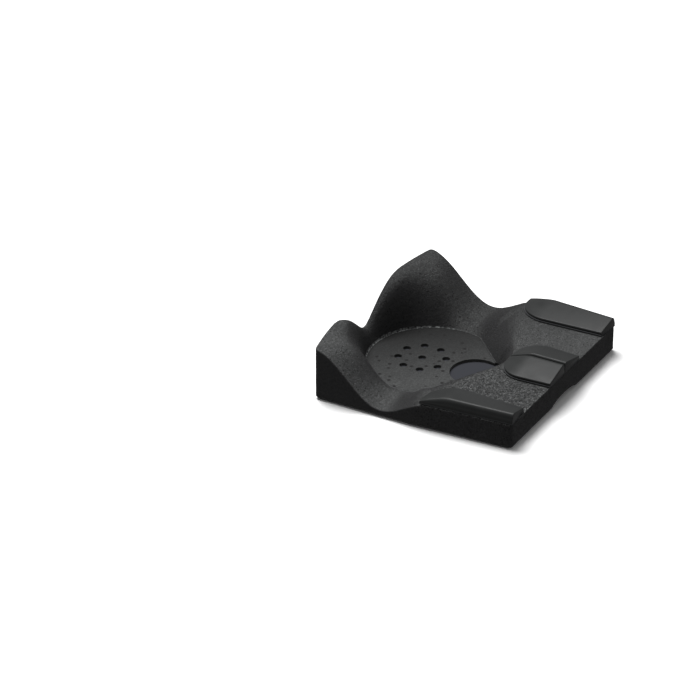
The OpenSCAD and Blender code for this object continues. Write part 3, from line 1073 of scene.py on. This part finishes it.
@dataclass
class FloorPanel:
    """The perforated panel let into the well's floor."""

    block: FoamBlock
    finish: Finish
    # The panel, and how far inside the wall's foot its pocket lies.
    border: float = 1.5 * MM
    gap: float = 0.3 * MM
    reach: float = 43 * MM
    thick: float = 3.5 * MM
    edge_r: float = 0.7 * MM
    arc_points: int = 150
    # The vents, one in the middle of a ring, and how little the block's own ones are rounded.
    vent_d: float = 14 * MM
    vent_ring_d: float = 87 * MM
    vent_count: int = 8
    vent_y: float = 82.5 * MM
    vent_edge: float = 0.01 * MM
    # The two larger moulding pits, and the angles at which their bowl starts and ends.
    pit_d: float = 5 * MM
    pit_depth: float = 1.5 * MM
    pit_span: float = 97 * MM
    pit_y: float = 27 * MM
    pit_bowl: tuple[float, float] = (0.2, 1.5)
    # How far cutters run past what they cut.
    clear: float = 2 * MM
    pocket_clear: float = 3 * MM

    def plan(self, inset: float) -> np.ndarray:
        """The floor's outline, drawn in by inset.

        Args:
            inset: How far inside the wall's foot the outline lies.

        Returns:
            The outline's points, once round.
        """
        b = self.block
        r = b.well_r - inset
        straight = b.well_reach - inset
        half_turn = math.acos(straight / r)
        start = -b.well_angle + half_turn
        sweep = np.linspace(start, math.pi - start, self.arc_points)
        arc = np.column_stack([r * np.cos(sweep), b.well_y + r * np.sin(sweep)])
        front = inset - self.reach
        tip = straight / math.cos(b.well_angle) + (front - b.well_y) * math.tan(b.well_angle)
        return np.vstack([[tip, front], arc, [-tip, front]])

    def vents(self, wide: float, low: float, high: float) -> list[bpy.types.Object]:
        """Cutters for the vents, each with a rounded upper edge.

        Args:
            wide: Radius of the rounding at the top.
            low: Height of the cutters' foot.
            high: Height of the surface that they come out of.

        Returns:
            The cutters.
        """
        r = self.vent_d / 2
        lip = [(r + wide * (1 - math.cos(a)), high - wide + wide * math.sin(a)) for a in quarter(points=6)]
        profile = [(r, low), *lip, (lip[-1][0], high + self.clear)]
        around = 2 * math.pi * (np.arange(self.vent_count) + 0.5) / self.vent_count
        ring = self.vent_ring_d / 2
        places = [(ring * math.cos(a), self.vent_y + ring * math.sin(a)) for a in around]
        return [turned(profile, at, steps=56) for at in [(0, self.vent_y), *places]]

    def pits(self) -> list[bpy.types.Object]:
        """Cutters for the moulding pits, with round bottoms.

        Returns:
            The cutters.
        """
        r, top = self.pit_d / 2, self.block.floor_h
        turn = np.linspace(*self.pit_bowl, num=6)
        bowl = [(r * math.sin(a), top - self.pit_depth * math.cos(a)) for a in turn]
        profile = [*bowl, (r, top), (r, top + self.clear)]
        return [turned(profile, (side * self.pit_span / 2, self.pit_y), steps=40) for side in (-1, 1)]

    def cutters(self) -> list[bpy.types.Object]:
        """Cutters for the block: the pocket that holds the panel, and the vents below it.

        Returns:
            The cutters, with the pocket's first.
        """
        b = self.block
        pocket = prism(self.plan(self.border), b.floor_h - self.thick, b.floor_h + self.pocket_clear)
        return [pocket, *self.vents(self.vent_edge, -b.clear, b.floor_h)]

    def build(self) -> bpy.types.Object:
        """The panel, dressed.

        Returns:
            The panel, in place.
        """
        b = self.block
        inset = self.border + self.gap
        bottom = b.floor_h - self.thick
        r = self.edge_r
        levels = [(0.0, bottom)]
        levels += [(r * (1 - math.cos(a)), b.floor_h - r * (1 - math.sin(a))) for a in quarter(points=5)]
        rings = []
        for drawn, z in levels:
            plan = self.plan(inset + drawn)
            rings.append(np.column_stack([plan, np.full(len(plan), z)]))
        panel = loft("well_floor_panel", rings)
        cut(panel, b.opening(), *self.vents(r, bottom - self.clear, b.floor_h), *self.pits())
        dress(panel, self.finish, b.coats)
        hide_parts("floor_panel")
        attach(panel, "base")
        return panel


# ---- The pads ----


class Seat(Enum):
    """Which pair of pads a pad belongs to."""

    SIDE = "side"
    MIDDLE = "mid"


class Hand(Enum):
    """Which side of the sitter a pad lies on."""

    LEFT = 1
    RIGHT = -1


# The sizes in which the two pairs of pads differ.
PAD_SIZES: dict[Seat, dict[str, float]] = {
    Seat.SIDE: {
        "length": 176 * MM, "front_w": 50 * MM, "rear_w": 64 * MM, "corner_l": 54 * MM,
        "tip_w": 14 * MM, "height": 21.5 * MM, "lean": 4 * MM, "edge": 1.5 * MM,
        "ridge_r": 9 * MM, "ridge_back": 11 * MM, "bulge": 0.9 * MM,
    },
    Seat.MIDDLE: {
        "length": 108 * MM, "front_w": 57.5 * MM, "rear_w": 61 * MM, "corner_l": 46 * MM,
        "tip_w": 12 * MM, "height": 21.5 * MM, "lean": 2 * MM, "edge": 0.4 * MM,
        "ridge_r": 8 * MM, "ridge_back": 7 * MM, "bulge": 0.0,
    },
}


@dataclass
class WedgePad:
    """One wedge pad with its sheets and tapes. Across the pad, s runs from its back face to its toe."""

    block: FoamBlock
    finishes: Finishes
    seat: Seat
    hand: Hand
    length: float
    front_w: float
    rear_w: float
    corner_l: float
    tip_w: float
    height: float
    lean: float
    edge: float
    ridge_r: float
    ridge_back: float
    bulge: float
    # The toe, and the groove along it over the flange.
    toe_h: float = 7.5 * MM
    toe_r: float = 5 * MM
    groove_d: float = 0.8 * MM
    groove_h: float = 1 * MM
    # Thicknesses, and how far each sheet reaches past or stays inside the pad's edge.
    cap_t: float = 1.8 * MM
    flange_t: float = 2.2 * MM
    flange_lip: float = 1 * MM
    loop_t: float = 1 * MM
    hook_t: float = 1.2 * MM
    tape_inset: float = 8 * MM
    tape_gap: float = 0.3 * MM
    # How the cap's back rises and ends.
    tip_rise: float = 1 * MM
    tip_power: float = 1.5
    end_r: float = 0.9 * MM
    # The roundings' largest share of the ridge's and of the toe's height.
    ridge_share: float = 0.62
    toe_share: float = 0.8
    bulge_at: tuple[float, ...] = (0.2, 0.4, 0.6, 0.8)
    sheet_soft: float = 0.4 * MM
    tape_soft: float = 0.2 * MM
    # How far cutters run past what they cut, the stations of a wedge, and where the core ends.
    clear: float = 3 * MM
    along: int = 24
    round_tip: int = 22
    core_tip: int = 16
    core_turn: float = math.radians(60)

    @property
    def tag(self) -> str:
        """The pad's place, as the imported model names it."""
        return f"{self.seat.value}_{self.hand.name.lower()}"

    @property
    def lip_z(self) -> float:
        """Height of the lip over the groove along the toe."""
        return self.block.trough_h + self.loop_t + self.flange_t + self.groove_h + self.groove_d

    def placed(self, s: np.ndarray, y: np.ndarray, z: np.ndarray, skew: np.ndarray) -> np.ndarray:
        """Turn places on the pad into points of the object.

        Args:
            s: Distances across the pad, from its back face.
            y: Places along the block.
            z: Heights over the underside.
            skew: How much further back a place lies for each metre across.

        Returns:
            The points, one row each.
        """
        b = self.block
        if self.seat is Seat.SIDE:
            x = self.edge - b.side_x(y) + s
            out, up = x + b.shoulder_x, z - b.trough_h
            turn = b.shoulder_angle
            x = out * math.cos(turn) - up * math.sin(turn) - b.shoulder_x
            z = out * math.sin(turn) + up * math.cos(turn) + b.trough_h
            drawn_on = -1
        else:
            x = self.edge + s
            drawn_on = 1
        return np.column_stack([x * drawn_on * self.hand.value, y + s * skew, z])

    def stations(self, inset: float, front: float, count: int, last: float) -> list[tuple[float, ...]]:
        """Places along the pad, each with its width, its share of the full height and its skew.

        Args:
            inset: How far the pad's edge is drawn in.
            front: How far its front end is drawn in.
            count: Number of places round the rear corner.
            last: Angle at which the rear corner ends.

        Returns:
            The stations, from the front to the rear.
        """
        start = front - self.block.half_l
        corner = self.length - self.block.half_l - self.corner_l
        skew = self.block.taper if self.seat is Seat.SIDE else 0.0
        found = []
        for share in np.linspace(0, 1, self.along, endpoint=False):
            y = start + (corner - start) * share
            width = self.front_w + (self.rear_w - self.front_w) * share - inset
            found.append((y, width, 1.0, skew * (1 - share)))
        for a in np.linspace(0, last, count):
            y = corner + (self.corner_l - inset) * math.sin(a)
            width = self.tip_w + (self.rear_w - self.tip_w - inset) * math.cos(a)
            found.append((y, width, 1 - math.sin(a) ** self.tip_power, 0.0))
        return found

    def section(
        self, width: float, share: float, back: float, drop: float, groove: float, sink: float
    ) -> np.ndarray:
        """Cross-section of the cap or its core at one station.

        Args:
            width: Distance from the back face to the toe.
            share: The station's share of the full height.
            back: How far the back face is drawn in.
            drop: How far the ridge and the toe lie under the cap's.
            groove: Depth of the groove along the toe.
            sink: How far the foot reaches below the cap's underside.

        Returns:
            Distances across and heights, from the back face's foot over the ridge to the toe's foot.
        """
        low = self.lip_z - self.groove_h - self.groove_d
        seat = self.block.trough_h
        top = self.lip_z + (seat + self.height - self.lip_z) * share + self.tip_rise - drop
        toe = self.lip_z + (seat + self.toe_h - self.lip_z) * math.sqrt(share) + self.tip_rise / 2 - drop
        leaned = self.lean / self.height
        foot = np.array([back - leaned * sink, low - sink])
        ridge = np.array([back + leaned * (top - low), top])
        corner = np.array([width, toe])
        lip = np.array([width, low + self.groove_h + groove])
        tall = top - low
        most = self.ridge_share * tall
        reach = (min(self.ridge_back, most), min(self.ridge_r, most))
        edge = arc_between(foot, ridge, corner, reach, steps=14)
        toe_r = min(self.toe_r, self.toe_share * (toe - lip[1]))
        out = np.array([-self.bulge * min(1, tall / self.height), 0])
        line = [foot]
        line += [foot + (edge[0] - foot) * t + out * math.sin(math.pi * t) for t in self.bulge_at]
        line += edge
        line += arc_between(ridge, corner, lip, (toe_r, toe_r), steps=8)
        if groove:
            line += [lip, np.array([width - groove, low + self.groove_h])]
        line.append(np.array([width - groove, low - sink]))
        return np.array(line)

    def wedge(
        self,
        name: str,
        stations: list[tuple[float, ...]],
        drawn: float = 0,
        groove: float = 0,
        sink: float = 0,
        end_r: float = 0,
    ) -> bpy.types.Object:
        """Loft a wedge through its stations, with its front end's rim rounded.

        Args:
            name: The piece's name.
            stations: Places along the pad.
            drawn: How far its back, ridge and toe lie inside the cap's.
            groove: Depth of the groove along the toe.
            sink: How far the foot reaches below the cap's underside.
            end_r: Radius of the front end's rim.

        Returns:
            The new object.
        """
        rings = []
        start, width, share, skew = stations[0]
        for a in quarter(points=5)[:-1] if end_r else []:
            line = shrunk(self.section(width, share, drawn, drawn, groove, sink), end_r * (1 - math.sin(a)))
            y = np.full(len(line), start + end_r * (1 - math.cos(a)))
            rings.append(self.placed(line[:, 0], y, line[:, 1], skew))
        for y, width, share, skew in stations:
            line = self.section(width, share, drawn, drawn, groove, sink)
            far = np.full(len(line), start + end_r if y == start else y)
            rings.append(self.placed(line[:, 0], far, line[:, 1], skew))
        return loft(name, rings)

    def core(self, name: str, sink: float) -> bpy.types.Object:
        """The foam under the cap.

        Args:
            name: The piece's name.
            sink: How far it reaches below the cap's underside.

        Returns:
            The new object.
        """
        stations = self.stations(self.cap_t + self.groove_d, self.cap_t, self.core_tip, self.core_turn)
        return self.wedge(name, stations, drawn=self.cap_t, sink=sink)

    def cap(self) -> bpy.types.Object:
        """The moulded cap, hollow over its core.

        Returns:
            The new object.
        """
        stations = self.stations(0, 0, self.round_tip, math.pi / 2)
        skin = self.wedge(f"pad_skin_{self.tag}", stations, groove=self.groove_d, end_r=self.end_r)
        cut(skin, self.core("hollow", self.clear))
        return skin

    def plan(self, inset: float) -> tuple[np.ndarray, np.ndarray, np.ndarray]:
        """Outline of a flat layer, drawn in from the pad's edge, or beyond its toe where negative.

        Args:
            inset: How far the outline is drawn in.

        Returns:
            Distances across, places along the block, and skews, once round.
        """
        drawn = max(inset, 0)
        found = self.stations(inset, drawn, self.round_tip, math.pi / 2)
        toe = [(width, y, skew) for y, width, _, skew in found]
        heel = [(drawn, y, skew) for y, _, _, skew in reversed(found)]
        s, y, skew = np.array(toe + heel).T
        return s, y, skew

    def layer(self, name: str, inset: float, low: float, high: float, soft: float) -> bpy.types.Object:
        """A flat layer of the pad, with soft upper and lower edges.

        Args:
            name: The piece's name.
            inset: How far its edge is drawn in.
            low: Height of its underside.
            high: Height of its top.
            soft: Radius of its edges.

        Returns:
            The new object.
        """
        rings = []
        for sign, z in ((-1, low), (1, high)):
            for a in quarter(points=4)[::sign] if soft else [0.0]:
                s, y, skew = self.plan(inset + soft * (1 - math.cos(a)))
                height = z - sign * soft * (1 - math.sin(a))
                rings.append(self.placed(s, y, np.full(len(s), height), skew))
        return loft(name, rings)

    def hook_pocket(self) -> bpy.types.Object:
        """Cutter for the pocket that holds the hook tape.

        Returns:
            The cutter.
        """
        seat = self.block.trough_h
        inset = self.tape_inset - self.tape_gap
        return self.layer("hook_pocket", inset, seat - self.hook_t, seat + self.clear, soft=0)

    def build(self) -> list[bpy.types.Object]:
        """The pad's cap, core, sheet and tapes, dressed.

        Returns:
            The pieces, in place.
        """
        tag, pad, looks = self.tag, f"pad_{self.tag}", self.finishes
        seat = self.block.trough_h
        loops = seat + self.loop_t
        hooks = seat - self.hook_t
        caps = loops + self.flange_t
        cap = self.cap()
        core = self.core(f"pad_core_{tag}", sink=0)
        sheet = self.layer(f"pad_sheet_{tag}", -self.flange_lip, loops, caps, self.sheet_soft)
        loop = self.layer(f"pad_loops_{tag}", self.tape_inset, seat, loops, self.tape_soft)
        hook = self.layer(f"seat_hooks_{tag}", self.tape_inset, hooks, seat, self.tape_soft)
        rows = [
            (cap, f"cap_{tag}", pad, looks.cap),
            (core, f"core_{tag}", pad, looks.core),
            (sheet, f"flange_{tag}", pad, looks.flange),
            (loop, f"loop_tape_{tag}", pad, looks.loop),
            (hook, f"hook_tape_{tag}", "base", looks.hook),
        ]
        for piece, node, body, finish in rows:
            dress(piece, finish, self.block.coats)
            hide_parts(node)
            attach(piece, body)
        return [piece for piece, *_ in rows]


def arc_between(
    before: np.ndarray, corner: np.ndarray, after: np.ndarray, reach: tuple[float, float], steps: int
) -> list[np.ndarray]:
    """Points that round a corner.

    Args:
        before: The point that the line comes from.
        corner: The corner.
        after: The point that the line goes to.
        reach: Distances from the corner at which the rounding starts and ends.
        steps: Number of steps round it.

    Returns:
        The points, from the side of before to the side of after.
    """
    start = corner + (before - corner) * reach[0] / np.linalg.norm(before - corner)
    end = corner + (after - corner) * reach[1] / np.linalg.norm(after - corner)
    shares = np.linspace(0, 1, steps + 1)
    return [start * (1 - t) ** 2 + corner * 2 * t * (1 - t) + end * t**2 for t in shares]


def shrunk(line: np.ndarray, by: float) -> np.ndarray:
    """Draw an upright section's outline in by a small distance all round.

    Args:
        line: The section's points, once round.
        by: How far each point moves inwards.

    Returns:
        The drawn-in points.
    """
    if by <= 0:
        return line
    ahead = np.roll(line, -1, axis=0) - line
    ahead /= np.maximum(np.linalg.norm(ahead, axis=1), TINY)[:, None]
    inward = np.column_stack([ahead[:, 1], -ahead[:, 0]])
    both = inward + np.roll(inward, 1, axis=0)
    both /= np.maximum(np.linalg.norm(both, axis=1), TINY)[:, None]
    return line + both * by


# ---- The studio ----


@dataclass
class Studio:
    """The floor with a dark sheet of painted shade under the object, the lamp, the sky and the camera."""

    table: Finish
    mat: Finish
    shade_sheet_half_w: float
    shade_sheet_rear: float
    shade_sheet_front: float
    azimuth: float = math.radians(-60.642)
    elevation: float = math.radians(29.578)
    distance: float = 7.1713
    aim: tuple[float, float, float] = (-0.0779, 0.1876, 0.03)
    lens: float = 205.7
    sensor_w: float = 36
    sight: float = 60
    floor_half: float = 14
    lamp_at: tuple[float, float, float] = (0.7, 1.75, 5.15)
    lamp_d: float = 3.4
    lamp_watts: float = 470
    sky: float = 0.3

    def camera(self) -> None:
        """Stand the camera at its place, aimed at the object."""
        data = bpy.data.cameras.new("camera")
        data.lens = self.lens
        data.sensor_width = self.sensor_w
        data.clip_end = self.sight
        camera = bpy.data.objects.new("camera", data)
        a, e = self.azimuth, self.elevation
        back = Vector((math.sin(a) * math.cos(e), -math.cos(a) * math.cos(e), math.sin(e)))
        camera.location = Vector(self.aim) + back * self.distance
        camera.rotation_euler = (-back).to_track_quat("-Z", "Y").to_euler()
        bpy.context.scene.collection.objects.link(camera)
        bpy.context.scene.camera = camera

    def floor(self) -> None:
        """Lay the plain pale floor, and let a plain dark sheet into it under the object, as painted shade.
        """
        far, w, rear, front = self.floor_half, self.shade_sheet_half_w, self.shade_sheet_rear, self.shade_sheet_front
        points = [(x, y, 0) for x, y in ((-far, -far), (far, -far), (far, far), (-far, far))]
        points += [(x, y, 0) for x, y in ((-w, front), (w, front), (w, rear), (-w, rear))]
        around = [(k, (k + 1) % 4, (k + 1) % 4 + 4, k + 4) for k in range(4)]
        for name, faces, finish in (("floor", around, self.table), ("mat", [(4, 5, 6, 7)], self.mat)):
            mesh = bpy.data.meshes.new(f"studio_{name}")
            mesh.from_pydata(points, [], faces)
            mesh.materials.append(finish.material())
            sheet = bpy.data.objects.new(f"studio_{name}", mesh)
            bpy.context.scene.collection.objects.link(sheet)
            sheet.visible_diffuse = False
            sheet.visible_glossy = False

    def light(self) -> None:
        """Hang one large soft lamp over the object and a little behind it, in a dim white sky."""
        data = bpy.data.lights.new("key", "AREA")
        data.shape = "DISK"
        data.size = self.lamp_d
        data.energy = self.lamp_watts
        lamp = bpy.data.objects.new("key", data)
        lamp.location = self.lamp_at
        lamp.rotation_euler = Vector(self.lamp_at).to_track_quat("Z", "Y").to_euler()
        bpy.context.scene.collection.objects.link(lamp)
        world = bpy.data.worlds.new("sky")
        world.use_nodes = True
        background = world.node_tree.nodes["Background"]
        background.inputs["Color"].default_value = (1, 1, 1, 1)
        background.inputs["Strength"].default_value = self.sky
        bpy.context.scene.world = world
        bpy.context.scene.view_settings.view_transform = "Standard"

    def build(self) -> None:
        """Set up the whole studio."""
        self.camera()
        self.floor()
        self.light()


def all_finishes() -> Finishes:
    """Every finish of the object, each with its name and the record's slot first.

    Returns:
        The finishes.
    """
    # Bead foam, steam-chest moulded, is dull and a little waxy: a broad weak sheen and no highlight, on
    # beads that each have a shade of their own between dark seams. The beads have their real size. The voids
    # between real ones are under 1 mm, and are drawn a few millimetres wide so that they show. The panel has
    # a flatter face than the block, with fewer and larger pits.
    foam = {"ior": 1.49, "bead": 2.9 * MM, "skin": "#2a2a2b", "roughness": 0.8, "gloss": 0.3}
    # Both bead foams paint light, with the dust, on what faces up, and paint shade on what faces away, in
    # their voids and towards a rear corner; the block also paints light on its coarser front corner and a
    # highlight along the lip.
    lip_at = (FoamBlock.well_r, FoamBlock.well_y, 1.3 * MM)
    block = BeadFoam("bead_foam", "bead_foam", relief=0.9 * MM, dusty_and_lit="#4c4d4d", speckle=0.34,
                     void_size=5 * MM, void_share=0.25, rougher_side=1.3, shade_side=0.36,
                     lip_at=lip_at, **foam)
    floor = BeadFoam("pressed_bead_foam", "floor_foam", relief=0.4 * MM, dusty_and_lit="#3f4040", speckle=0.25,
                     void_size=13 * MM, void_share=0.3, shade_side=0.9, **foam)
    # Integral-skin foam copies its mould: closed and nearly black, with a soft gloss along the ridge. Such a
    # pebble grain is about 0.3 mm wide, and is drawn at 0.9 mm so that it shows.
    cap = IntegralSkin("integral_skin_foam", "pad_cap", relief=0.05 * MM, ior=1.5, skin="#272828",
                       grain=0.9 * MM, roughness=0.41, gloss=0.13)
    # Knife-cut foam rubber is matt all over, as light is lost in the cells that the knife opened. Such cells
    # are under 0.5 mm wide, and are drawn at 0.7 and 1.2 mm so that they show.
    flange = CellSheet("foam_rubber_sheet", "pad_flange", relief=0.12 * MM, ior=1.5, skin="#2f3032",
                       cell=0.7 * MM)
    core = CellSheet("closed_cell_foam", "pad_core", relief=0.3 * MM, ior=1.5, skin="#202122", cell=1.2 * MM)
    # Woven nylon tape is the darkest, with light only on the tips of its hooks, in even rows, or of its
    # loops, brushed about. Such rows are about 1.3 mm apart, and are drawn at 1.9 mm so that they show.
    nylon = {"relief": 0.5 * MM, "ior": 1.53, "row": 1.9 * MM}
    hook = WovenTape("hook_tape_nylon", "hook_tape", ground="#0d0d0e", tip="#2a2b2d", brushed=False, **nylon)
    loop = WovenTape("loop_tape_nylon", "loop_tape", ground="#111112", tip="#2a2a2c", brushed=True, **nylon)
    return Finishes(block, floor, cap, flange, core, hook, loop)


def studio_for(block: FoamBlock) -> Studio:
    """The studio, with a dark sheet of painted shade that the block hides but for what shows through its
    openings.

    Args:
        block: The block that stands over the sheet of painted shade.

    Returns:
        The studio, not yet set up.
    """
    # White acrylic with a matt face, and under the block a dark sheet as painted shade: neither has a
    # highlight, so that only the shadow shows.
    inside = 14 * MM
    # The sheet of painted shade ends behind the arch's mouth, so that the pale floor shows under the front
    # edge.
    behind_front = 50 * MM
    return Studio(
        table=MattSheet("white_acrylic", "", relief=0.1 * MM, ior=1.49, colour="#f4f4f4", roughness=0.95),
        mat=MattSheet("dark_shade_sheet", "", relief=0.1 * MM, ior=1.5, colour="#35363a", roughness=0.95),
        shade_sheet_half_w=block.half_front - inside,
        shade_sheet_rear=block.half_l - block.rear_bow - inside,
        shade_sheet_front=behind_front - block.half_l,
    )


def main() -> None:
    """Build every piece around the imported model."""
    logging.basicConfig(level=logging.INFO, format="%(message)s")
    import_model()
    finishes = all_finishes()
    block = FoamBlock({}, finishes.block)
    studio_for(block).build()
    panel = FloorPanel(block, finishes.floor)
    pads = [WedgePad(block, finishes, seat, hand, **PAD_SIZES[seat]) for seat in Seat for hand in Hand]
    pocket, *vents = panel.cutters()
    hook_pockets = [pad.hook_pocket() for pad in pads]
    foam = block.build([pocket, block.opening(), block.arch(), *vents, *hook_pockets])
    for piece in [foam, panel.build(), *(piece for pad in pads for piece in pad.build())]:
        LOG.info("%s: %d faces", piece.name, len(piece.data.polygons))


if __name__ == "__main__":
    main()
